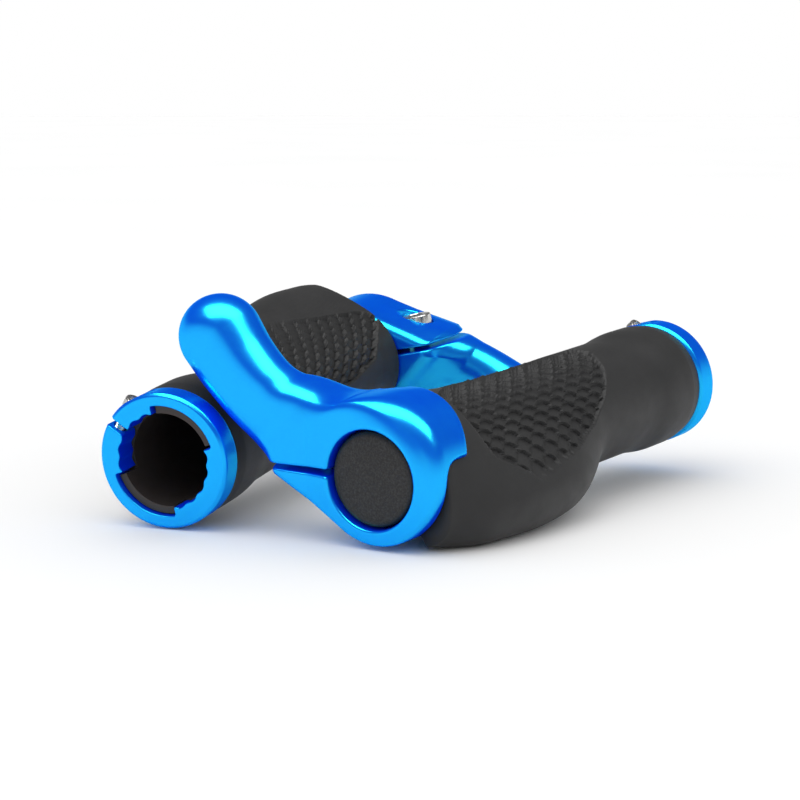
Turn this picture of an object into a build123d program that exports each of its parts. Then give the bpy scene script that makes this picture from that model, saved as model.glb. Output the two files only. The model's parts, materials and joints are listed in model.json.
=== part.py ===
from build123d import *
from math import cos, radians, sin
import os

# A pair of lock-on bicycle grips with built-in bar ends, left and right, that mirror each other.
#
# Each grip is modelled once, as the left one, in its own frame (millimetres):
#   X runs along the handlebar, from the outer end face (X = 0) inwards to the lock ring,
#   Y runs from the bar axis along the clamp's slot, the way the horn points,
#   Z is square to both, so an angle about the bar axis is counted from Y towards Z.
# The pieces are then placed twice, as they are and mirrored, where the two grips lie on a table.

# Handlebar and overall length
BAR_DIAMETER = 22.2
GRIP_LENGTH = 137.2
RUNNING_GAP = 0.06
SEAM_GAP = 0.4
BAR_BORE = BAR_DIAMETER / 2 + RUNNING_GAP
CORE_OUTER = 12.9

# Bar end: a split clamp with a horn
CLAMP_WIDTH = 21.0
CLAMP_RADIUS = 16.4
CLAMP_OFFSET = (-0.8, 1.4)
RIM_WIDTH = 6.0
MOUTH_RADIUS = 11.4
MOUTH_DEPTH = 7.5
SLOT_WIDTH = 1.6
# Ear that the slot splits, as points (Y, Z) round it from the bar axis
EAR_OUTLINE = [(0.0, 0.0), (10.2, -11.9), (24.8, -1.2), (24.8, 3.0), (14.0, 14.0)]
# Angles between which the clamp stands back and the sleeve's wing takes its place
NOTCH_START = 161.0
NOTCH_END = 239.0
# Stations of the horn: centre X, Y, Z, radius across the horn, half depth along the bar, heading
HORN_STATIONS = [
    (9.6, 11.0, 5.0, 11.0, 8.8, 12.0),
    (8.6, 22.6, 8.3, 10.8, 8.5, 16.0),
    (6.8, 28.8, 10.8, 9.1, 8.0, 22.0),
    (5.4, 34.8, 14.1, 7.8, 7.6, 35.0),
    (5.0, 41.3, 20.4, 8.1, 8.1, 52.0),
    (5.0, 46.0, 27.2, 9.2, 9.2, 60.0),
]
HORN_BULB = 9.3

# Both screws: share of the head that the hexagon socket takes, room round the head, spare thread
SOCKET_SHARE = 0.6
HEAD_CLEARANCE = 0.4
THREAD_RUNOUT = 0.5

# Bar end pinch bolt: M5, socket head
PINCH_Y = 17.6
PINCH_X = 9.6
PINCH_RADIUS = 2.5
PINCH_CLEARANCE = 2.8
PINCH_SEAT = -3.2
PINCH_TOP = 10.0
PINCH_HEAD = 4.25
PINCH_HEAD_HEIGHT = 4.6
PINCH_SOCKET = 4.0

# End plug
PLUG_RADIUS = 11.0
PLUG_FACE = 3.0
PLUG_EDGE = 0.6
PLUG_SKIRT = 9.3
PLUG_WALL = 1.6
PLUG_DEPTH = 7.0
PLUG_RIBS = 8
PLUG_RIB_LENGTH = 1.6
PLUG_RIB_WIDTH = 1.2
PLUG_RIB_HEIGHT = 1.3

# Rubber sleeve: X and radius along the top, then the palm wing as circles (X, Y, Z, radius)
SLEEVE_START = RIM_WIDTH + SEAM_GAP
SLEEVE_LIP = 16.6
# The core's tongue under the wing: its start, and how far both stay off the notch's sides (degrees)
TONGUE_START = SLEEVE_START + 2.0
CORE_MARGIN = 4.0
SLEEVE_MARGIN = 1.5
SLEEVE_PROFILE = [(22.0, 16.3), (34.0, 15.2), (62.0, 14.9), (90.0, 15.0), (116.0, 15.1)]
FLANGE_RADIUS = 16.2
FLANGE_WIDTH = 3.5
WING = [
    (SLEEVE_START, -9.5, -6.8, 8.0),
    (16.0, -14.0, -8.4, 8.0),
    (28.0, -15.8, -9.0, 8.0),
    (45.0, -15.8, -9.6, 8.0),
    (60.0, -13.8, -9.0, 8.0),
    (72.0, -9.6, -7.2, 8.2),
    (82.0, -5.0, -4.0, 9.0),
    (91.0, -3.0, -2.0, 9.0),
]

# Lock ring with its screw: M3, socket head
RING_RADIUS = 16.25
RING_WIDTH = 7.1
RING_RECESS = 13.2
RING_RECESS_ANGLES = (-49.0, 131.0)
RING_RECESS_SPAN = 84.0
RING_SLOT_ANGLE = -136.0
RING_SLOT_WIDTH = 2.0
RING_TEETH = 5
RING_TOOTH_RADIUS = 0.55
# The core's two tongues in the recesses: length, and how far they stay off each side (degrees)
TONGUE_LENGTH = 5.5
TONGUE_MARGIN = 3.0
SCREW_OFFSET = 13.9
SCREW_RADIUS = 1.5
SCREW_CLEARANCE = 1.7
SCREW_SEAT = 4.4
SCREW_REACH = 7.5
SCREW_HEAD = 2.4
SCREW_HEAD_HEIGHT = 2.4
SCREW_SOCKET = 2.5

# The bar ends clamp on at any angle to the palm wing, and the rings go on either way up: how far each
# grip's wing is turned against its bar end, and each ring against the bar end's slot (degrees)
WING_TURNS = {"left": 0.0, "right": 25.0}
RING_TURNS = {"left": 180.0, "right": 0.0}

# How the pair lies: point at the outer end of the bar axis, then heading, tilt and roll of each grip
LEFT_ORIGIN, LEFT_HEADING, LEFT_TILT, LEFT_ROLL = (-7.1, -44.4, 15.3), 55.3, 3.35, 2.6
RIGHT_ORIGIN, RIGHT_HEADING, RIGHT_TILT, RIGHT_ROLL = (-6.9, 107.0, 28.58), 249.3, -5.4, 190.2

# Longer than any cut needs
FAR = 80.0
RING_START = GRIP_LENGTH - RING_WIDTH
SLEEVE_END = RING_START - SEAM_GAP


def sector(start, end, reach=FAR):
    """Points of a fan about the bar axis, from one angle to the other, in steps under an eighth of a turn."""
    steps = int((end - start) // (360 / 8)) + 1
    angles = [start + (end - start) * i / steps for i in range(steps + 1)]
    return [(0, 0)] + [(reach * cos(radians(a)), reach * sin(radians(a))) for a in angles]


def cut_fan(start, end):
    """Cut a fan out of the sketch in hand."""
    Polygon(*sector(start, end), align=None, mode=Mode.SUBTRACT)


def grip_plane(origin, heading, tilt, roll):
    """The plane whose X runs down the bar axis of a grip that lies at these angles."""
    a, b, c = radians(heading), radians(tilt), radians(roll)
    along = Vector(cos(b) * cos(a), cos(b) * sin(a), sin(b))
    level = Vector(-sin(a), cos(a), 0)
    up = along.cross(level)
    return Plane(origin=origin, x_dir=along, z_dir=up * cos(c) - level * sin(c))


def make_bar_end():
    """Clamp, ear and horn in one piece, split by the slot and drilled for the pinch bolt."""
    with BuildPart() as bar_end:
        with BuildSketch(Plane.YZ):
            with Locations(CLAMP_OFFSET):
                Circle(CLAMP_RADIUS)
            with BuildLine():
                Polyline(*EAR_OUTLINE, close=True)
            make_face()
        extrude(amount=CLAMP_WIDTH)
        for x, y, z, radius, half_depth, heading in HORN_STATIONS:
            along_horn = (0, cos(radians(heading)), sin(radians(heading)))
            with BuildSketch(Plane((x, y, z), x_dir=(1, 0, 0), z_dir=along_horn)):
                Ellipse(half_depth, radius)
        loft()
        with Locations(HORN_STATIONS[-1][:3]):
            Sphere(HORN_BULB)
        with BuildSketch(Plane.YZ.offset(RIM_WIDTH)):
            Polygon(*sector(NOTCH_START, NOTCH_END), align=None)
        extrude(amount=FAR, mode=Mode.SUBTRACT)
        with BuildSketch(Plane.YZ):
            Circle(BAR_BORE)
        extrude(amount=CLAMP_WIDTH, mode=Mode.SUBTRACT)
        with BuildSketch(Plane.YZ):
            Circle(MOUTH_RADIUS)
        extrude(amount=MOUTH_DEPTH, mode=Mode.SUBTRACT)
        with BuildSketch(Plane.YZ):
            with Locations((FAR / 2, 0)):
                Rectangle(FAR, SLOT_WIDTH)
        extrude(amount=FAR, mode=Mode.SUBTRACT)
        with BuildSketch(Plane.XY.offset(PINCH_SEAT - FAR)):
            with Locations((PINCH_X, PINCH_Y)):
                Circle(PINCH_HEAD + HEAD_CLEARANCE)
        extrude(amount=FAR, mode=Mode.SUBTRACT)
        with BuildSketch(Plane.XY.offset(PINCH_SEAT)):
            with Locations((PINCH_X, PINCH_Y)):
                Circle(PINCH_CLEARANCE)
        extrude(amount=-PINCH_SEAT, mode=Mode.SUBTRACT)
        with BuildSketch(Plane.XY):
            with Locations((PINCH_X, PINCH_Y)):
                Circle(PINCH_RADIUS + RUNNING_GAP)
        extrude(amount=PINCH_TOP + THREAD_RUNOUT, mode=Mode.SUBTRACT)
    return bar_end.part


def make_pinch_bolt():
    """M5 socket cap screw: shank, head and hexagon socket."""
    with BuildPart() as pinch_bolt:
        with BuildSketch(Plane.XY.offset(PINCH_SEAT)):
            with Locations((PINCH_X, PINCH_Y)):
                Circle(PINCH_RADIUS)
        extrude(amount=PINCH_TOP - PINCH_SEAT)
        with BuildSketch(Plane.XY.offset(PINCH_SEAT - PINCH_HEAD_HEIGHT)):
            with Locations((PINCH_X, PINCH_Y)):
                Circle(PINCH_HEAD)
        extrude(amount=PINCH_HEAD_HEIGHT)
        with BuildSketch(Plane.XY.offset(PINCH_SEAT - PINCH_HEAD_HEIGHT)):
            with Locations((PINCH_X, PINCH_Y)):
                RegularPolygon(PINCH_SOCKET / 2, 6, major_radius=False)
        extrude(amount=PINCH_HEAD_HEIGHT * SOCKET_SHARE, mode=Mode.SUBTRACT)
    return pinch_bolt.part


def make_end_plug():
    """Round cap with a hollow skirt and short ribs that hold it in the clamp's mouth."""
    with BuildPart() as end_plug:
        with BuildSketch(Plane.YZ):
            Circle(PLUG_RADIUS)
        extrude(amount=PLUG_FACE)
        fillet(end_plug.edges().sort_by(Axis.X)[0], PLUG_EDGE)
        with BuildSketch(Plane.YZ.offset(PLUG_FACE)):
            Circle(PLUG_SKIRT)
            with PolarLocations(PLUG_SKIRT + PLUG_RIB_HEIGHT - PLUG_RIB_LENGTH / 2, PLUG_RIBS):
                Rectangle(PLUG_RIB_LENGTH, PLUG_RIB_WIDTH)
            Circle(PLUG_SKIRT - PLUG_WALL, mode=Mode.SUBTRACT)
        extrude(amount=PLUG_DEPTH - PLUG_FACE)
    return end_plug.part


def make_core_tube():
    """Thin plastic tube that slides over the bar, with one tongue under the wing and two in the ring."""
    tube_start = CLAMP_WIDTH + 2 * SEAM_GAP
    with BuildPart() as core_tube:
        with BuildSketch(Plane.YZ.offset(tube_start)):
            Circle(CORE_OUTER)
            Circle(BAR_BORE, mode=Mode.SUBTRACT)
        extrude(amount=RING_START - SEAM_GAP - tube_start)
        with BuildSketch(Plane.YZ.offset(TONGUE_START)):
            Circle(CORE_OUTER)
            Circle(BAR_BORE, mode=Mode.SUBTRACT)
            cut_fan(NOTCH_END - CORE_MARGIN - 360, NOTCH_START + CORE_MARGIN)
        extrude(amount=tube_start - TONGUE_START)
        with BuildSketch(Plane.YZ.offset(RING_START - SEAM_GAP)):
            Circle(CORE_OUTER)
            Circle(BAR_BORE, mode=Mode.SUBTRACT)
            half = RING_RECESS_SPAN / 2 - TONGUE_MARGIN
            for angle in RING_RECESS_ANGLES:
                cut_fan(angle + half, angle + 180 - half)
        extrude(amount=TONGUE_LENGTH + SEAM_GAP)
    return core_tube.part


def make_sleeve(wing_turn):
    """Rubber sleeve: a slim waisted tube with a flange, and the palm wing along one side."""
    turn = radians(wing_turn)
    with BuildPart() as sleeve:
        with BuildSketch(Plane.XZ):
            with BuildLine():
                start = (SLEEVE_START, SLEEVE_LIP)
                flare = (SLEEVE_END - FLANGE_WIDTH, FLANGE_RADIUS)
                top = Spline(start, *SLEEVE_PROFILE, flare)
                Polyline(top @ 1, (SLEEVE_END, FLANGE_RADIUS), (SLEEVE_END, 0), (SLEEVE_START, 0), top @ 0)
            make_face()
        revolve(axis=Axis.X)
        for x, y, z, radius in WING:
            with BuildSketch(Plane.YZ.offset(x)):
                with Locations((y * cos(turn) - z * sin(turn), y * sin(turn) + z * cos(turn))):
                    Circle(radius)
        loft()
        with BuildSketch(Plane.YZ):
            Polygon(*sector(NOTCH_END - SLEEVE_MARGIN - 360, NOTCH_START + SLEEVE_MARGIN), align=None)
        extrude(amount=CLAMP_WIDTH + SEAM_GAP, mode=Mode.SUBTRACT)
        with BuildSketch(Plane.YZ):
            Circle(CORE_OUTER)
        extrude(amount=GRIP_LENGTH, mode=Mode.SUBTRACT)
    return sleeve.part


def make_lock_ring():
    """Split ring with two wide recesses for the core's tongues and two toothed tabs on the bar."""
    with BuildPart() as lock_ring:
        with BuildSketch(Plane.YZ.offset(RING_START)):
            Circle(RING_RADIUS)
            Circle(RING_RECESS, mode=Mode.SUBTRACT)
        extrude(amount=RING_WIDTH)
        with BuildSketch(Plane.YZ.offset(RING_START)):
            Circle(RING_RECESS)
            Circle(BAR_BORE, mode=Mode.SUBTRACT)
            for angle in RING_RECESS_ANGLES:
                cut_fan(angle - RING_RECESS_SPAN / 2, angle + RING_RECESS_SPAN / 2)
                first = angle + RING_RECESS_SPAN / 2
                for i in range(RING_TEETH):
                    dent = radians(first + (180 - RING_RECESS_SPAN) * (i + 0.5) / RING_TEETH)
                    with Locations((BAR_BORE * cos(dent), BAR_BORE * sin(dent))):
                        Circle(RING_TOOTH_RADIUS, mode=Mode.SUBTRACT)
        extrude(amount=RING_WIDTH)
        with BuildSketch(Plane.YZ.offset(RING_START)):
            with PolarLocations(RING_RADIUS, 1, start_angle=RING_SLOT_ANGLE):
                Rectangle(RING_RADIUS, RING_SLOT_WIDTH)
        extrude(amount=RING_WIDTH, mode=Mode.SUBTRACT)
        middle = RING_START + RING_WIDTH / 2
        with BuildSketch(screw_plane(middle, 0)):
            Circle(SCREW_CLEARANCE)
        extrude(amount=SCREW_SEAT, mode=Mode.SUBTRACT)
        with BuildSketch(screw_plane(middle, SCREW_SEAT)):
            Circle(SCREW_HEAD + HEAD_CLEARANCE)
        extrude(amount=FAR, mode=Mode.SUBTRACT)
        with BuildSketch(screw_plane(middle, -SCREW_REACH - THREAD_RUNOUT)):
            Circle(SCREW_RADIUS + RUNNING_GAP)
        extrude(amount=SCREW_REACH + THREAD_RUNOUT, mode=Mode.SUBTRACT)
    return lock_ring.part


def screw_plane(x, height):
    """Plane square to the ring screw, this far from the ring's slot on the head's side."""
    a = radians(RING_SLOT_ANGLE)
    out, tangent = Vector(0, cos(a), sin(a)), Vector(0, -sin(a), cos(a))
    origin = Vector(x, 0, 0) + out * SCREW_OFFSET + tangent * height
    return Plane(origin=origin, x_dir=(1, 0, 0), z_dir=tangent)


def make_ring_screw():
    """M3 socket cap screw across the ring's slot."""
    middle = RING_START + RING_WIDTH / 2
    with BuildPart() as ring_screw:
        with BuildSketch(screw_plane(middle, -SCREW_REACH)):
            Circle(SCREW_RADIUS)
        extrude(amount=SCREW_REACH + SCREW_SEAT)
        with BuildSketch(screw_plane(middle, SCREW_SEAT)):
            Circle(SCREW_HEAD)
        extrude(amount=SCREW_HEAD_HEIGHT)
        with BuildSketch(screw_plane(middle, SCREW_SEAT + SCREW_HEAD_HEIGHT)):
            RegularPolygon(SCREW_SOCKET / 2, 6, major_radius=False)
        extrude(amount=-SCREW_HEAD_HEIGHT * SOCKET_SHARE, mode=Mode.SUBTRACT)
    return ring_screw.part


pieces = {
    "bar_end": make_bar_end(),
    "pinch_bolt": make_pinch_bolt(),
    "end_plug": make_end_plug(),
    "core_tube": make_core_tube(),
    "lock_ring": make_lock_ring(),
    "ring_screw": make_ring_screw(),
}
left = grip_plane(LEFT_ORIGIN, LEFT_HEADING, LEFT_TILT, LEFT_ROLL)
right = grip_plane(RIGHT_ORIGIN, RIGHT_HEADING, RIGHT_TILT, RIGHT_ROLL)
placed = {}
for side in ("left", "right"):
    for name, piece in {**pieces, "grip_sleeve": make_sleeve(WING_TURNS[side])}.items():
        if name in ("lock_ring", "ring_screw"):
            piece = Rot(X=RING_TURNS[side]) * piece
        if side == "left":
            placed[f"left_{name}"] = left.location * piece
        else:
            placed[f"right_{name}"] = right.location * mirror(piece, about=Plane.XZ)

# The row's origin is the middle of the pair's box, on the table
boxes = [piece.bounding_box() for piece in placed.values()]
low = [min(tuple(box.min)[i] for box in boxes) for i in range(3)]
high = [max(tuple(box.max)[i] for box in boxes) for i in range(3)]
shift = Pos(-(low[0] + high[0]) / 2, -(low[1] + high[1]) / 2, -low[2])
print("shift", shift.position, "size", [b - a for a, b in zip(low, high)])

os.makedirs("parts", exist_ok=True)
for name, piece in placed.items():
    moved = shift * piece
    moved.label = name
    export_step(moved, f"parts/{name}.step")
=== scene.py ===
"""Looks of a pair of lock-on handlebar grips with bar ends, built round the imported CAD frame."""

import json
import math

import bpy
import numpy as np
import openvdb
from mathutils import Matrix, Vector


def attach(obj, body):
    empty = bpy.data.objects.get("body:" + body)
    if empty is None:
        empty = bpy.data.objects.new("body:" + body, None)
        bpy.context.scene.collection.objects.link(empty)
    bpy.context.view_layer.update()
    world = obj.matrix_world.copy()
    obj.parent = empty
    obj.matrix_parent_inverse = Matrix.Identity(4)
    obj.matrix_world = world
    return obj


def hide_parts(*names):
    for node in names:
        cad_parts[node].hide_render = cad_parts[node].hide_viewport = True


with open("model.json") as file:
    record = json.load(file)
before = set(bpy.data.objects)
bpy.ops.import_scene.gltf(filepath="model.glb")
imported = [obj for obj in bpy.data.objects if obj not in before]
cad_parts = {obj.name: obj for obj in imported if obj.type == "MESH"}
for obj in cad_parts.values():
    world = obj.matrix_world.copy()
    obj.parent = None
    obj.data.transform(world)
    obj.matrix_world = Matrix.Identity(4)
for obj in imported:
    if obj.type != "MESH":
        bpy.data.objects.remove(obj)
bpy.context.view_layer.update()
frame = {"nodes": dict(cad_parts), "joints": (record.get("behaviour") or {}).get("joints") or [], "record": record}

# Every shape is made in a grip's own frame in millimetres and then placed on the left and the right grip.
# X runs inwards along the bar from the outer face, Y along the clamp's slot, Z square to both,
# and an angle about the bar is counted in degrees from Y towards Z. The right grip is mirrored.
MM = 0.001
GRIP_LENGTH = 137.2
BAR_BORE = 11.16
CORE_OUTER = 12.9

# Bar end
CLAMP_CENTRE = (-0.8, 1.4)
CLAMP_RADIUS = 16.4
EAR_EDGE = [(24.8, -1.2), (24.8, 3.0)]
MOUTH_RADIUS = 11.5
MOUTH_DEPTH = 7.5
SLOT_HALF = (0.85, 0.6)
SLOT_RUN = (11.0, 25.0)
# Angle about the bar and where along it the clamp gives way to the sleeve
SEAM = [(-121, 13.0), (-100, 17.5), (-60, 22.5), (0, 23.5), (60, 22.0), (91, 20.2), (130, 18.0), (161, 15.0)]
# Rounding of the clamp's edge at the seam: angle, size
SEAM_EDGE = [(-121, 0.9), (-100, 2.0), (30, 2.2), (70, 0.8), (161, 0.7)]
NOTCH = (162.5, 239.0)
NOTCH_SEAM = 6.2
NOTCH_CORNER = 5.0
# Angle about the bar, how far the front face slopes back there, and the rounding of its outer edge
FRONT = [
    (-180, 0.5, 2.4), (-150, 0.3, 2.0), (-120, 0.08, 1.4), (-85, 0.0, 1.1), (-30, 0.0, 0.8), (40, 0.0, 1.0),
    (70, 0.12, 2.5), (95, 0.38, 3.6), (120, 0.52, 3.0), (150, 0.56, 2.6), (180, 0.5, 2.4),
]
# Stations of the horn: centre X, Y, Z, radius across, half depth along the bar, squareness of the section
HORN = [
    (9.6, 4.0, 3.5, 11.0, 9.6, 3.2),
    (9.6, 11.0, 5.0, 11.0, 9.6, 3.2),
    (8.6, 22.6, 8.3, 10.8, 9.4, 3.0),
    (6.8, 28.6, 11.2, 9.7, 8.8, 2.3),
    (5.4, 34.0, 15.1, 9.2, 8.6, 2.15),
    (5.0, 40.3, 21.0, 9.4, 9.0, 2.1),
    (5.0, 45.4, 27.0, 9.9, 9.6, 2.05),
]
HORN_BLEND = 7.0
LEAN_START, LEAN = 17.0, 0.16

# Screws: place, radius, head radius and height, socket across flats
PINCH_X, PINCH_Y, PINCH_SEAT, PINCH_TOP = 9.6, 17.6, -3.2, 10.0
PINCH_RADIUS, PINCH_HEAD, PINCH_HEAD_HEIGHT, PINCH_SOCKET = 2.5, 4.25, 4.6, 4.0
SCREW_OFFSET, SCREW_SEAT, SCREW_REACH = 13.9, 4.4, 7.5
SCREW_RADIUS, SCREW_HEAD, SCREW_HEAD_HEIGHT, SCREW_SOCKET = 1.5, 2.4, 2.4, 2.5

# Lock ring
RING_RADIUS = 16.25
RING_WIDTH = 7.1
RING_RECESS = 13.2
RING_RECESS_ANGLES = (-49.0, 131.0)
RING_RECESS_HALF = 42.0
RING_SLOT_ANGLE = -136.0
SCALLOPS, SCALLOP_RADIUS, SCALLOP_SINK = 5, 2.0, 1.55
RING_START = GRIP_LENGTH - RING_WIDTH
RING_MIDDLE = RING_START + RING_WIDTH / 2

# Sleeve: X and radius of the round part, then the palm wing as circles (X, Y, Z, radius)
SLEEVE_END = RING_START - 0.4
SLEEVE_BORE = CORE_OUTER + 0.05
SEAM_GAP = 0.35
SLEEVE_PROFILE = [
    (6, 16.7), (22, 16.4), (34, 15.3), (62, 15.0), (90, 15.0), (106, 15.1), (110, 15.4), (114, 15.95),
    (117, 16.2), (125.6, 16.2), (SLEEVE_END, 15.6),
]
SLEEVE_SEGMENTS, SLEEVE_STEP = 340, 0.33
COLLAR_END, RELIEF_END = 24.5, 93.5
WING = [
    (6.4, -9.5, -6.8, 8.0),
    (16.0, -14.0, -8.4, 8.0),
    (28.0, -15.8, -9.0, 8.0),
    (45.0, -15.8, -9.6, 8.0),
    (60.0, -13.8, -9.0, 8.0),
    (72.0, -9.6, -7.2, 8.2),
    (82.0, -5.0, -4.0, 9.0),
    (91.0, -3.0, -2.0, 9.0),
]
WING_BLEND = 1.6
# Outlines of the textured patches over and under the wing, as X and angle; the lower one's angles are
# read mirrored about the wing
PATCH_OVER = [
    (22, 103), (22, 133), (25, 170), (38, 190), (62, 184), (74, 175), (82, 155), (89, 128), (93, 100),
    (91, 76), (80, 62), (54, 58), (38, 67), (31, 87),
]
PATCH_UNDER = [
    (24, 128), (25, 138), (28, 147), (36, 156), (45, 162), (56, 172), (65, 180), (74, 176), (82, 162),
    (89, 143), (92, 125), (90, 101), (80, 87), (54, 83), (38, 92), (31, 112),
]
WING_ANGLE = -149.0
SCALE_LENGTH, SCALE_ROW = 6.5, 8.6
SCALE_DEPTH = 1.4
# How far each grip's wing is turned against its bar end, and each lock ring against the slot (degrees)
WING_TURNS = {"left": 0.0, "right": 25.0}
RING_TURNS = {"left": 180.0, "right": 0.0}

mounts = {m["name"]: m for m in frame["record"]["mounts"]}
joints = {j["name"]: j for j in frame["joints"]}


def grip_matrix(side):
    """Rotation (3 by 3, mirrored for the right grip) and origin in metres of a grip's own frame."""
    bore, pinch = mounts[f"{side}_bar_bore"], joints[f"{side}_pinch_turn"]
    along = np.array(Vector(bore["axis"]).normalized())
    square = np.array(Vector(pinch["axis"]).normalized())
    slot_way = np.cross(square, along) * (1 if side == "left" else -1)
    middle = GRIP_LENGTH - bore["dims"]["length_mm"] / 2
    return np.column_stack([along, slot_way, square]), np.array(bore["pos_m"]) - along * middle * MM


# ---------- mesh tools ----------

def soft_min(a, b, width):
    """The smaller of two distances, with a fillet of that width where they meet."""
    h = np.clip(0.5 + 0.5 * (b - a) / width, 0, 1)
    return b + (a - b) * h - width * h * (1 - h)


def soft_max(a, b, width):
    return -soft_min(-a, -b, width)


def sample(grid, points):
    """Values of a grid at points in index units, linear in between."""
    i = np.clip(np.floor(points).astype(int), 0, np.array(grid.shape) - 2)
    f = points - i
    total = np.zeros(len(points))
    for a in (0, 1):
        for b in (0, 1):
            for c in (0, 1):
                weight = abs(1 - a - f[:, 0]) * abs(1 - b - f[:, 1]) * abs(1 - c - f[:, 2])
                total += weight * grid[i[:, 0] + a, i[:, 1] + b, i[:, 2] + c]
    return total


def solid(field, low, high, step):
    """Points, faces and normals of the surface where field(x, y, z) is zero inside a box."""
    axes = [np.arange(a, b + step, step) for a, b in zip(low, high)]
    distance = field(axes[0][:, None, None], axes[1][None, :, None], axes[2][None, None, :])
    distance = np.clip(distance, -6 * step, 6 * step).astype(np.float32)
    grid = openvdb.FloatGrid(6 * step)
    grid.copyFromArray(distance)
    points, faces = grid.convertToQuads(isovalue=0.0)
    points = points.astype(float)
    slopes = np.gradient(distance)
    for _ in range(2):
        slope = np.column_stack([sample(s, points) for s in slopes])
        steepness = np.maximum((slope**2).sum(1), 1e-4)
        shift = slope * (sample(distance, points) / steepness)[:, None]
        points -= np.clip(shift, -0.4, 0.4)
    slope = np.column_stack([sample(s, points) for s in slopes])
    normals = slope / np.linalg.norm(slope, axis=1)[:, None]
    a, b, c = (points[faces[:, k]] for k in (0, 1, 2))
    facing = (np.cross(b - a, c - a) * normals[faces[:, 0]]).sum()
    if facing < 0:
        faces = faces[:, ::-1]
    return points * step + np.array(low), faces.tolist(), normals


def grid_solid(rings, closed_ends=False):
    """Points and faces of a tube of rings; each ring closes on itself, and the last ring meets the first
    unless the ends are closed with flat caps."""
    count, size = rings.shape[:2]
    points = rings.reshape(-1, 3)
    turns = count - 1 if closed_ends else count
    faces = []
    for i in range(turns):
        j = (i + 1) % count
        for k in range(size):
            m = (k + 1) % size
            faces.append((i * size + k, i * size + m, j * size + m, j * size + k))
    if closed_ends:
        faces.append(tuple(range(size))[::-1])
        faces.append(tuple(range((count - 1) * size, count * size)))
    return points, faces


def join_shells(*shells):
    """Several closed shells as one mesh."""
    points, faces, start = [], [], 0
    for shell_points, shell_faces in shells:
        points.append(shell_points)
        faces += [tuple(v + start for v in face) for face in shell_faces]
        start += len(shell_points)
    return np.vstack(points), faces


def outward(points, faces):
    """The faces turned so that the shell's volume is positive."""
    volume = 0.0
    for face in faces:
        a = points[face[0]]
        for k in range(1, len(face) - 1):
            volume += np.dot(a, np.cross(points[face[k]], points[face[k + 1]]))
    return faces if volume > 0 else [tuple(face)[::-1] for face in faces]


def place(side, name, shape, material, body, sharp=None):
    """Puts a shape made in the grip's frame where that grip is, as a piece that stands for its CAD node."""
    points, faces = shape[:2]
    turn, origin = grip_matrix(side)
    if side == "right":
        faces = [tuple(face)[::-1] for face in faces]
    mesh = bpy.data.meshes.new(f"{side}_{name}_look")
    mesh.from_pydata((points * MM) @ turn.T + origin, [], faces)
    mesh.validate()
    mesh.shade_smooth()
    if len(shape) > 2:
        mesh.normals_split_custom_set_from_vertices((shape[2] @ turn.T).tolist())
    elif sharp:
        mesh.set_sharp_from_angle(angle=math.radians(sharp))
    piece = bpy.data.objects.new(f"{side}_{name}_look", mesh)
    bpy.context.scene.collection.objects.link(piece)
    mesh.materials.append(material)
    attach(piece, f"{side}_{body}")
    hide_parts(f"{side}_{name}")
    return piece


# ---------- shapes ----------

def clamp_outline(y, z):
    """Distance out of the clamp's circle and its ear, whose sides run tangent to the circle."""
    circle = np.hypot(y - CLAMP_CENTRE[0], z - CLAMP_CENTRE[1]) - CLAMP_RADIUS
    low, high = EAR_EDGE
    return np.minimum(circle, convex([low, high, touch_point(high, 1), touch_point(low, -1)], y, z))


def touch_point(point, way):
    """Where a line from a point touches the clamp's circle, on the side that way says."""
    dy, dz = point[0] - CLAMP_CENTRE[0], point[1] - CLAMP_CENTRE[1]
    turn = math.atan2(dz, dy) + way * math.acos(CLAMP_RADIUS / math.hypot(dy, dz))
    return CLAMP_CENTRE[0] + CLAMP_RADIUS * math.cos(turn), CLAMP_CENTRE[1] + CLAMP_RADIUS * math.sin(turn)


def convex(outline, y, z):
    """Distance out of a convex outline whose points go round from Y towards Z."""
    far = None
    for (y0, z0), (y1, z1) in zip(outline, outline[1:] + outline[:1]):
        side = ((y - y0) * (z1 - z0) - (z - z0) * (y1 - y0)) / math.hypot(y1 - y0, z1 - z0)
        far = side if far is None else np.maximum(far, side)
    return far


def horn_field(x, y, z):
    """The horn: rounded sections strung along a curve in the plane square to the bar."""
    stations = np.array(HORN)
    places = np.linspace(0, len(stations) - 1, 70)
    line = [catmull(stations[:, k], places) for k in range(6)]
    reach = np.stack([np.hypot(y - cy, z - cz) - r for cy, cz, r in zip(*line[1:4])])
    nearest = reach.argmin(axis=0)
    # The nearest place lies between the samples: a parabola through three of them finds it
    inner = np.clip(nearest, 1, len(places) - 2)
    before, at, after = (np.take_along_axis(reach, inner[None] + k, axis=0)[0] for k in (-1, 0, 1))
    bend = np.maximum(before - 2 * at + after, 1e-9)
    offset = np.clip(0.5 * (before - after) / bend, -1, 1)
    place_read = (inner + offset) * (places[1] - places[0])
    best = at - 0.5 * (before - after) * offset + 0.5 * bend * offset**2
    centre_x, radius, half, power = (catmull(stations[:, k], place_read) for k in (0, 3, 4, 5))
    across = np.maximum(best / radius + 1, 0)
    along = np.abs(x - centre_x) / half
    return ((across**power + along**power) ** (1 / power) - 1) * np.minimum(radius, half)


def catmull(values, places):
    """A smooth curve through evenly spaced values, read at fractional places."""
    padded = np.concatenate([[2 * values[0] - values[1]], values, [2 * values[-1] - values[-2]]])
    i = np.clip(places.astype(int), 0, len(values) - 2)
    t = places - i
    a, b, c, d = padded[i], padded[i + 1], padded[i + 2], padded[i + 3]
    return 0.5 * (2 * b + (c - a) * t + (2 * a - 5 * b + 4 * c - d) * t**2 + (3 * b - a - 3 * c + d) * t**3)


def read_round(table, angle, column=1):
    """A value given at some angles, read at any angle and eased between them."""
    values = np.array(table)
    return smooth_interp(angle, values[:, 0], values[:, column])


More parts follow.
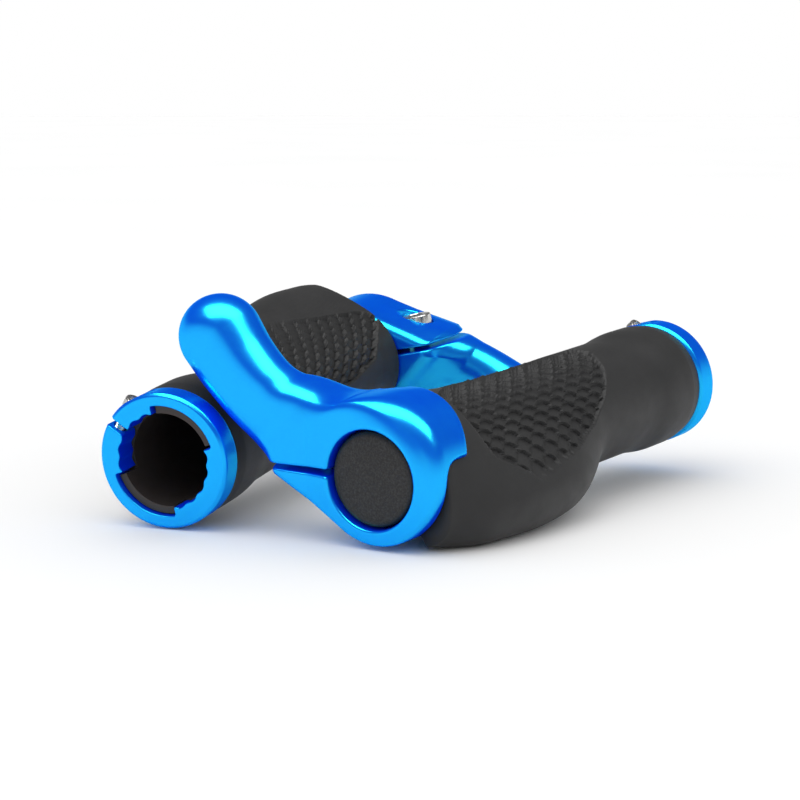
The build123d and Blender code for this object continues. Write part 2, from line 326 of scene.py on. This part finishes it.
def seam_at(angle):
    """Where along the bar the clamp ends at an angle about it."""
    inside = (angle > NOTCH[0]) | (angle < NOTCH[1] - 360)
    depth = CLAMP_RADIUS * np.sin(np.radians(np.minimum((angle - NOTCH[0]) % 360, (NOTCH[1] - angle) % 360)))
    corner = (math.sqrt(NOTCH_CORNER) - np.sqrt(np.clip(depth, 0, NOTCH_CORNER))) ** 2
    return np.where(inside, NOTCH_SEAM + corner, read_round(SEAM, angle))


def bar_end_field(x, y, z):
    """Clamp, ear and horn with the bore, mouth, slot and bolt pocket."""
    radius, angle = np.hypot(y, z), np.degrees(np.arctan2(z, y))
    slope = read_round(FRONT, angle)
    front = (slope * np.clip(radius - MOUTH_RADIUS, 0, None) - x) / np.sqrt(1 + slope**2)
    body = soft_max(clamp_outline(y, z), front, read_round(FRONT, angle, 2))
    body = soft_min(body, horn_field(x, y, z), HORN_BLEND)
    lean = np.clip(y - LEAN_START, 0, None) * LEAN
    body = soft_max(body, -x - lean, 1.6)
    body = soft_max(body, x - seam_at(angle), read_round(SEAM_EDGE, angle))
    notch = fan(y, z, NOTCH[0], NOTCH[1])
    body = soft_max(body, -soft_max(notch, NOTCH_SEAM - x, NOTCH_CORNER), 0.5)
    mouth = soft_max(radius - MOUTH_RADIUS, x - MOUTH_DEPTH, 0.2)
    body = soft_max(body, -mouth, 0.7)
    body = soft_max(body, BAR_BORE - radius, 0.3)
    slot_half = np.interp(y, SLOT_RUN, SLOT_HALF)
    body = soft_max(body, -soft_max(np.abs(z) - slot_half, SLOT_RUN[0] / 2 - y, 0.2), 0.5)
    bolt = np.hypot(x - PINCH_X, y - PINCH_Y)
    pocket = soft_max(bolt - PINCH_HEAD - 0.4, z - PINCH_SEAT, 0.2)
    hole = soft_max(bolt - PINCH_RADIUS - 0.15, z - PINCH_TOP - 0.5, 0.2)
    return soft_max(body, -np.minimum(pocket, hole), 0.5)


def fan(y, z, start, end):
    """Distance out of a fan about the bar that is under half a turn wide."""
    a, b = math.radians(start), math.radians(end)
    return np.maximum(-(z * math.cos(a) - y * math.sin(a)), z * math.cos(b) - y * math.sin(b))


def ring_field(x, y, z):
    """Split ring with recesses, toothed tabs, slot and screw pocket."""
    radius = np.hypot(y, z)
    side = np.abs(x - RING_MIDDLE) - RING_WIDTH / 2
    rim = radius - RING_RADIUS
    body = soft_max(np.maximum(side, rim), (side + rim + 0.75) / math.sqrt(2), 0.15)
    hollow = radius - BAR_BORE
    scallop_reach = BAR_BORE - SCALLOP_SINK
    for middle in RING_RECESS_ANGLES:
        edges = fan(y, z, middle - RING_RECESS_HALF, middle + RING_RECESS_HALF)
        hollow = soft_min(hollow, soft_max(radius - RING_RECESS, edges, 0.5), 0.3)
        first, span = middle + RING_RECESS_HALF, 180 - 2 * RING_RECESS_HALF
        for i in range(SCALLOPS):
            dent = math.radians(first + span * (i + 0.5) / SCALLOPS)
            middle_y, middle_z = scallop_reach * math.cos(dent), scallop_reach * math.sin(dent)
            hollow = soft_min(hollow, np.hypot(y - middle_y, z - middle_z) - SCALLOP_RADIUS, 0.25)
    body = soft_max(body, -hollow, 0.3)
    a = math.radians(RING_SLOT_ANGLE)
    out, around = y * math.cos(a) + z * math.sin(a), z * math.cos(a) - y * math.sin(a)
    body = soft_max(body, -soft_max(np.abs(around) - 1.0, 4 - out, 0.2), 0.3)
    screw = np.hypot(x - RING_MIDDLE, out - SCREW_OFFSET)
    pocket = soft_max(screw - SCREW_HEAD - 0.35, SCREW_SEAT - around, 0.2)
    hole = soft_max(screw - SCREW_RADIUS - 0.1, np.abs(around) - SCREW_REACH - 0.5, 0.2)
    return soft_max(body, -np.minimum(pocket, hole), 0.3)


def in_outline(outline, x, y):
    """Which points are inside a closed outline."""
    inside = np.zeros(x.shape, bool)
    for (x0, y0), (x1, y1) in zip(outline, outline[1:] + outline[:1]):
        crosses = (y0 > y) != (y1 > y)
        inside ^= crosses & (x < (x1 - x0) * (y - y0) / (y1 - y0 + 1e-12) + x0)
    return inside


def scale_relief(x, angle):
    """Depth of the fish-scale texture: rows of arches, deepest under each arch and rising to the next."""
    depth = np.zeros(x.shape)
    for patch, turn in ((PATCH_OVER, angle % 360), (PATCH_UNDER, (2 * WING_ANGLE - angle) % 360)):
        inside = in_outline(patch, x, turn)
        along, rows = x / SCALE_LENGTH, turn / SCALE_ROW
        own, following = np.full(x.shape, -1e9), np.full(x.shape, 1e9)
        for back in (2, 1, 0, -1, -2):
            row = np.floor(rows) - back
            offset = (along + 0.5 * (row % 2)) % 1 - 0.5
            arch = row + 1 - np.sqrt(np.clip(1 - (2 * offset) ** 2, 0, None))
            reached = arch <= rows
            own = np.where(reached, np.maximum(own, arch), own)
            following = np.where(reached, following, np.minimum(following, arch))
        below, left = rows - own, following - rows
        floor = 1 - 0.7 * np.clip(below / 1.3, 0, 1)
        wall = np.clip(left / 0.13, 0, 1) * np.clip(below / 0.07, 0, 1)
        depth = np.where(inside, SCALE_DEPTH * floor * wall, depth)
    return depth


def sleeve_radius(x, angle):
    """Radius of the sleeve's outer surface: the hull of the round part and the wing's circle."""
    base = np.interp(x, *zip(*SLEEVE_PROFILE))
    stations = np.array(WING)
    wing_y, wing_z, wing_r = (smooth_interp(x, stations[:, 0], stations[:, k]) for k in (1, 2, 3))
    reach, way = np.hypot(wing_y, wing_z), np.arctan2(wing_z, wing_y)
    best = np.full(x.shape, 1e9)
    for lean in np.radians(np.arange(-78, 79, 3.0)):
        normal = np.radians(angle) + lean
        support = soft_max(base, reach * np.cos(normal - way) + wing_r, WING_BLEND)
        best = np.minimum(best, support / math.cos(lean))
    return best


def smooth_interp(x, places, values):
    """Cubic interpolation with level ends."""
    slopes = np.gradient(values, places)
    i = np.clip(np.searchsorted(places, x) - 1, 0, len(places) - 2)
    width = places[i + 1] - places[i]
    t = np.clip((x - places[i]) / width, 0, 1)
    a, b = values[i], values[i + 1]
    p, q = slopes[i] * width, slopes[i + 1] * width
    return a + p * t + (3 * (b - a) - 2 * p - q) * t**2 + (2 * (a - b) + p + q) * t**3


def sleeve_shape(wing_turn):
    """Rubber sleeve as rings of points round the bar, from the seam over the outside to the bore and back."""
    angle = np.arange(SLEEVE_SEGMENTS) * 360 / SLEEVE_SEGMENTS
    signed = (angle + 180) % 360 - 180
    start = seam_at(signed) + SEAM_GAP
    rows = [start + 0.5 + (COLLAR_END - start - 0.5) * s for s in np.linspace(0, 1, 18)]
    places = [
        *np.arange(COLLAR_END + SLEEVE_STEP, RELIEF_END, SLEEVE_STEP),
        *np.linspace(RELIEF_END, SLEEVE_END - 4.3, 22),
        *(SLEEVE_END - back for back in (3.9, 3.6, 3.3, 3.0, 0.5)),
    ]
    x = np.array(rows + [np.full(SLEEVE_SEGMENTS, place_x) for place_x in places])
    turns = np.broadcast_to(signed, x.shape) - wing_turn
    radius = sleeve_radius(x, turns) - scale_relief(x, turns)
    edge = radius[0]
    x = np.vstack([
        start, start, start + 0.15, x,
        np.full((2, SLEEVE_SEGMENTS), SLEEVE_END - 0.12), np.full((3, SLEEVE_SEGMENTS), SLEEVE_END),
    ])
    bore = np.full(SLEEVE_SEGMENTS, SLEEVE_BORE)
    radius = np.vstack([bore, edge - 0.5, edge - 0.15, radius, radius[-1] - 0.05, radius[-1] - 0.15,
                        radius[-1] - 0.5, bore + 0.5, bore])
    inner = [SLEEVE_END + (start - SLEEVE_END) * s for s in np.linspace(0, 1, 8)[1:-1]]
    x = np.vstack([x] + inner)
    radius = np.vstack([radius, np.full((len(inner), SLEEVE_SEGMENTS), SLEEVE_BORE)])
    turn = np.radians(np.broadcast_to(angle, x.shape))
    points, faces = grid_solid(np.stack([x, radius * np.cos(turn), radius * np.sin(turn)], axis=-1))
    return points, outward_by_rows(points, faces)


def outward_by_rows(points, faces):
    """The faces of a large shell turned outwards, judged by its whole volume."""
    quads = np.array(faces)
    a, b, c, d = (points[quads[:, k]] for k in range(4))
    volume = (a * (np.cross(b, c) + np.cross(c, d))).sum()
    return faces if volume > 0 else quads[:, ::-1].tolist()


def lathe(profile, segments=96):
    """Rings round the X axis for a closed profile of (X, radius) points."""
    turn = np.arange(segments) * 2 * math.pi / segments
    rings = [[(x, r * math.cos(t), r * math.sin(t)) for t in turn] for x, r in profile]
    return np.array(rings)


def plug_shape():
    """End plug: a slightly domed face sunk below the rim, a hollow skirt and eight ribs."""
    face, dome = 1.3, 0.35
    profile = [(face - dome * (1 - (r / 9.4) ** 2), max(r, 0.02)) for r in np.linspace(0, 9.4, 14)]
    profile += [(face + 1.3 * (1 - math.cos(q)), 9.4 + 1.55 * math.sin(q))
                for q in np.radians(np.arange(10, 91, 10))]
    profile += [
        (3.0, 10.95), (3.3, 10.7), (3.3, 9.4), (6.8, 9.3), (7.0, 9.1), (7.0, 7.9), (6.8, 7.7), (3.4, 7.7),
        (3.2, 7.5), (3.2, 0.02),
    ]
    shell = grid_solid(lathe(profile), closed_ends=True)
    shells = [(shell[0], outward(*shell))]
    for i in range(8):
        turn = math.tau * i / 8
        corners = []
        for x, reach in ((3.2, 10.6), (6.2, 10.6), (6.9, 10.0)):
            row = [(x, 9.0, -0.6), (x, reach - 0.25, -0.6), (x, reach, -0.35), (x, reach, 0.35),
                   (x, reach - 0.25, 0.6), (x, 9.0, 0.6)]
            corners.append([
                (a, b * math.cos(turn) - c * math.sin(turn), b * math.sin(turn) + c * math.cos(turn))
                for a, b, c in row
            ])
        rib = grid_solid(np.array(corners), closed_ends=True)
        shells.append((rib[0], outward(*rib)))
    return join_shells(*shells)


def screw_shape(radius, length, pitch, head_radius, head_height, socket):
    """Socket head cap screw along X: the head from 0 to head_height, then the threaded shank."""
    segments = 72
    turn = np.arange(segments) * math.tau / segments
    knurl = 1 + 0.012 * np.sign(np.sin(turn * 36))
    hexagon = socket / 2 / np.cos((turn + math.pi / 6) % (math.pi / 3) - math.pi / 6)
    outline = [
        (head_height * 0.6, 0.01, None), (head_height * 0.6, 0.93, "hex"), (head_height * 0.56, 1.0, "hex"),
        (0.12, 1.0, "hex"), (0.0, 1.05, "hex"), (0.0, 0.9, "head"), (0.1, 0.97, "head"), (0.3, 1.0, "head"),
        (0.45, 1.0, "knurl"), (head_height - 0.35, 1.0, "knurl"), (head_height - 0.2, 1.0, "head"),
        (head_height, 0.95, "head"), (head_height, 0.01, None),
    ]
    size = {None: radius, "hex": hexagon, "head": head_radius, "knurl": head_radius * knurl}
    rings = []
    for x, share, kind in outline:
        r = share * size[kind] * np.ones(segments)
        rings.append(np.column_stack([np.full(segments, x), r * np.cos(turn), r * np.sin(turn)]))
    head = grid_solid(np.array(rings), closed_ends=True)
    places = np.arange(head_height - 0.4, head_height + length, pitch / 8)
    rings = []
    for x in places:
        phase = (x / pitch - turn / math.tau) % 1
        left = head_height + length - x
        r = radius - 0.45 * pitch * np.abs(2 * phase - 1) * (x > head_height + 0.6) - 0.6 * max(0, 0.8 - left)
        rings.append(np.column_stack([np.full(segments, x), r * np.cos(turn), r * np.sin(turn)]))
    shank = grid_solid(np.array(rings), closed_ends=True)
    return join_shells((head[0], outward(*head)), (shank[0], outward(*shank)))


def turned(shape, degrees):
    """A shape turned about the bar."""
    a = math.radians(degrees)
    turn = np.array([(1, 0, 0), (0, math.cos(a), -math.sin(a)), (0, math.sin(a), math.cos(a))])
    return shape[0] @ turn.T, shape[1], *(normals @ turn.T for normals in shape[2:])


def stand(shape, origin, along):
    """A shape made along X, moved so that its X axis starts at origin and points along."""
    along = np.array(Vector(along).normalized())
    side = np.cross(along, (1, 0, 0)) if abs(along[0]) < 0.9 else np.array((0.0, 1.0, 0.0))
    side = side / np.linalg.norm(side)
    turn = np.column_stack([along, side, np.cross(along, side)])
    return shape[0] @ turn.T + np.array(origin), shape[1]


# ---------- materials ----------

def principled(name, **values):
    """A node material with constant values set on the shader's own sockets."""
    material = bpy.data.materials.new(name)
    material.use_nodes = True
    shader = material.node_tree.nodes["Principled BSDF"]
    for key, value in values.items():
        shader.inputs[key.replace("_", " ")].default_value = value
    return material, material.node_tree, shader


def noise(tree, scale, detail=4.0, roughness=0.55, distortion=0.0):
    """Noise in the object's own space, so that it rides with the piece."""
    place_node = tree.nodes.new("ShaderNodeTexCoord")
    node = tree.nodes.new("ShaderNodeTexNoise")
    node.inputs["Scale"].default_value = scale
    node.inputs["Detail"].default_value = detail
    node.inputs["Roughness"].default_value = roughness
    node.inputs["Distortion"].default_value = distortion
    tree.links.new(place_node.outputs["Object"], node.inputs["Vector"])
    return node.outputs["Fac"]


def ramp(tree, source, stops):
    """A colour ramp; stops are (position, colour), where a colour may be one grey value."""
    node = tree.nodes.new("ShaderNodeValToRGB")
    for i, (position, colour) in enumerate(stops):
        element = node.color_ramp.elements[i] if i < 2 else node.color_ramp.elements.new(position)
        element.position = position
        rgb = (colour,) * 3 if isinstance(colour, (int, float)) else colour
        element.color = (*rgb, 1)
    tree.links.new(source, node.inputs["Fac"])
    return node.outputs["Color"]


def bump(tree, shader, heights):
    """Chains bumps; heights are (socket, distance in metres, strength)."""
    last = None
    for source, distance, strength in heights:
        node = tree.nodes.new("ShaderNodeBump")
        node.inputs["Distance"].default_value = distance
        node.inputs["Strength"].default_value = strength
        tree.links.new(source, node.inputs["Height"])
        if last is not None:
            tree.links.new(last, node.inputs["Normal"])
        last = node.outputs["Normal"]
    tree.links.new(last, shader.inputs["Normal"])


def anodised_blue():
    """Deep blue dye over bright aluminium: a deep blue body under a strong cyan gloss."""
    material, tree, shader = principled(
        "anodised_blue", Metallic=0.0, IOR=5.0, Specular_Tint=(0.03, 0.93, 1.0, 1.0)
    )
    colour = ramp(tree, noise(tree, 55, 3), [(0.3, (0.0, 0.026, 0.92)), (0.75, (0.0, 0.036, 1.0))])
    tree.links.new(colour, shader.inputs["Base Color"])
    gloss = ramp(tree, noise(tree, 260, 5, 0.6), [(0.25, 0.22), (0.8, 0.27)])
    tree.links.new(gloss, shader.inputs["Roughness"])
    bump(tree, shader, [(noise(tree, 2600, 2), 0.00001, 0.05)])
    return material


def grip_rubber():
    material, tree, shader = principled(
        "grip_rubber", Specular_IOR_Level=0.3, Sheen_Weight=0.04, Sheen_Roughness=0.55
    )
    shades = [(0.3, (0.014, 0.014, 0.0145)), (0.75, (0.019, 0.019, 0.02))]
    colour = ramp(tree, noise(tree, 70, 5, 0.6), shades)
    tree.links.new(colour, shader.inputs["Base Color"])
    gloss = ramp(tree, noise(tree, 180, 4), [(0.25, 0.5), (0.8, 0.63)])
    tree.links.new(gloss, shader.inputs["Roughness"])
    bump(tree, shader, [(noise(tree, 3200, 3, 0.6), 0.00004, 0.35), (noise(tree, 240, 2), 0.0001, 0.12)])
    return material


def core_plastic():
    material, tree, shader = principled("core_plastic", Specular_IOR_Level=0.4)
    colour = ramp(tree, noise(tree, 90, 4), [(0.3, (0.028, 0.022, 0.02)), (0.75, (0.04, 0.031, 0.028))])
    tree.links.new(colour, shader.inputs["Base Color"])
    gloss = ramp(tree, noise(tree, 240, 4), [(0.25, 0.38), (0.8, 0.5)])
    tree.links.new(gloss, shader.inputs["Roughness"])
    bump(tree, shader, [(noise(tree, 1500, 2), 0.00003, 0.2)])
    return material


def plug_plastic():
    material, tree, shader = principled("plug_plastic", Specular_IOR_Level=0.45)
    speck = noise(tree, 2100, 2, 0.7)
    colour = ramp(tree, speck, [(0.42, (0.007, 0.007, 0.008)), (0.72, (0.022, 0.022, 0.023))])
    tree.links.new(colour, shader.inputs["Base Color"])
    gloss = ramp(tree, speck, [(0.3, 0.62), (0.7, 0.46)])
    tree.links.new(gloss, shader.inputs["Roughness"])
    bump(tree, shader, [(speck, 0.00009, 0.7), (noise(tree, 600, 3), 0.00006, 0.3)])
    return material


def bolt_steel():
    material, tree, shader = principled("bolt_steel", Metallic=1.0)
    colour = ramp(tree, noise(tree, 300, 4), [(0.3, (0.62, 0.61, 0.59)), (0.75, (0.78, 0.77, 0.75))])
    tree.links.new(colour, shader.inputs["Base Color"])
    gloss = ramp(tree, noise(tree, 900, 4), [(0.25, 0.2), (0.8, 0.34)])
    tree.links.new(gloss, shader.inputs["Roughness"])
    bump(tree, shader, [(noise(tree, 2400, 2), 0.00002, 0.15)])
    return material


# ---------- the pair ----------

blue, rubber, core, plug, steel = anodised_blue(), grip_rubber(), core_plastic(), plug_plastic(), bolt_steel()
bar_end_step = 0.34
bar_end = solid(bar_end_field, (-6.0, -20.0, -20.0), (25.0, 58.0, 39.0), bar_end_step)
ring_step = 0.21
lock_ring = solid(ring_field, (RING_START - 1, -17.5, -17.5), (GRIP_LENGTH + 1, 17.5, 17.5), ring_step)
end_plug = plug_shape()
pinch_bolt = stand(
    screw_shape(PINCH_RADIUS, PINCH_TOP - PINCH_SEAT, 0.8, PINCH_HEAD, PINCH_HEAD_HEIGHT, PINCH_SOCKET),
    (PINCH_X, PINCH_Y, PINCH_SEAT - PINCH_HEAD_HEIGHT), (0, 0, 1),
)
slot_turn = math.radians(RING_SLOT_ANGLE)
slot_out = np.array((0, math.cos(slot_turn), math.sin(slot_turn)))
slot_around = np.array((0, -math.sin(slot_turn), math.cos(slot_turn)))
ring_screw = stand(
    screw_shape(SCREW_RADIUS, SCREW_SEAT + SCREW_REACH, 0.5, SCREW_HEAD, SCREW_HEAD_HEIGHT, SCREW_SOCKET),
    np.array((RING_MIDDLE, 0, 0)) + slot_out * SCREW_OFFSET + slot_around * (SCREW_SEAT + SCREW_HEAD_HEIGHT),
    -slot_around,
)
for side in ("left", "right"):
    place(side, "bar_end", bar_end, blue, "bar_end")
    place(side, "lock_ring", turned(lock_ring, RING_TURNS[side]), blue, "lock_ring")
    place(side, "grip_sleeve", sleeve_shape(WING_TURNS[side]), rubber, "grip")
    place(side, "end_plug", end_plug, plug, "end_plug", sharp=40)
    place(side, "pinch_bolt", pinch_bolt, steel, "pinch_bolt", sharp=35)
    ring_screw_here = turned(ring_screw, RING_TURNS[side])
    place(side, "ring_screw", ring_screw_here, steel, "ring_screw", sharp=35)
    for material_slot in frame["nodes"][f"{side}_core_tube"].material_slots:
        material_slot.material = core


# ---------- stage ----------

def make_floor():
    """Wide pale floor."""
    bpy.ops.mesh.primitive_circle_add(vertices=96, radius=9, fill_type="TRIFAN", location=(0, 0, 0))
    floor = bpy.context.object
    floor.name = "floor"
    material, tree, shader = principled("floor_white", Roughness=0.75, Specular_IOR_Level=0.1)
    colour = ramp(tree, noise(tree, 3, 3), [(0.3, 0.86), (0.75, 0.88)])
    tree.links.new(colour, shader.inputs["Base Color"])
    floor.data.materials.append(material)


def make_sky():
    """Plain white behind everything, an even dome for soft light, and a studio that the gloss reflects."""
    world = bpy.data.worlds.new("studio")
    bpy.context.scene.world = world
    world.use_nodes = True
    tree = world.node_tree
    tree.nodes.clear()
    direction = tree.nodes.new("ShaderNodeTexCoord")
    parts = tree.nodes.new("ShaderNodeSeparateXYZ")
    tree.links.new(direction.outputs["Generated"], parts.inputs["Vector"])
    studio, dome, white = (tree.nodes.new("ShaderNodeBackground") for _ in range(3))
    glow = ramp(tree, parts.outputs["Z"], [(0.0, 0.9), (0.12, 0.8), (0.3, 0.12), (1.0, 0.07)])
    tree.links.new(glow, studio.inputs["Color"])
    dome.inputs["Color"].default_value = (1.0, 1.0, 1.0, 1)
    white.inputs["Color"].default_value = (1, 1, 1, 1)
    rays = tree.nodes.new("ShaderNodeLightPath")
    last = dome
    for ray, seen in (("Is Glossy Ray", studio), ("Is Camera Ray", white)):
        mix = tree.nodes.new("ShaderNodeMixShader")
        tree.links.new(rays.outputs[ray], mix.inputs["Fac"])
        tree.links.new(last.outputs[0], mix.inputs[1])
        tree.links.new(seen.outputs[0], mix.inputs[2])
        last = mix
    output = tree.nodes.new("ShaderNodeOutputWorld")
    tree.links.new(last.outputs[0], output.inputs["Surface"])


def light(name, kind, location, target, energy):
    lamp_data = bpy.data.lights.new(name, kind)
    lamp_data.energy = energy
    lamp = bpy.data.objects.new(name, lamp_data)
    bpy.context.scene.collection.objects.link(lamp)
    lamp.location = location
    lamp.rotation_euler = (Vector(target) - Vector(location)).to_track_quat("-Z", "Y").to_euler()
    return lamp


def make_lights():
    """A wide softbox overhead that shows only in the gloss, and broad soft light that shows only off it."""
    softbox = light("softbox", "AREA", (0.08, -0.22, 0.78), (0.08, -0.22, 0), 14)
    softbox.data.shape = "RECTANGLE"
    softbox.data.size, softbox.data.size_y = 1.25, 0.6
    softbox.visible_diffuse = False
    broad = light("broad", "SUN", (-0.5, -0.3, 1.0), (0, 0, 0), 0.8)
    broad.data.angle = math.radians(60)
    broad.visible_glossy = False


def make_camera():
    """The camera looks along +Y, pitched down."""
    lens = bpy.data.cameras.new("camera")
    lens.sensor_width = 36
    lens.lens = 97.38
    camera = bpy.data.objects.new("camera", lens)
    bpy.context.scene.collection.objects.link(camera)
    camera.location = (-0.006925, -0.545432, 0.101285)
    camera.rotation_euler = (math.radians(90 - 8.09), 0, 0)
    lens.clip_start, lens.clip_end = 0.01, 50
    bpy.context.scene.camera = camera


make_floor()
make_sky()
make_lights()
make_camera()
bpy.context.scene.view_settings.view_transform = "Standard"
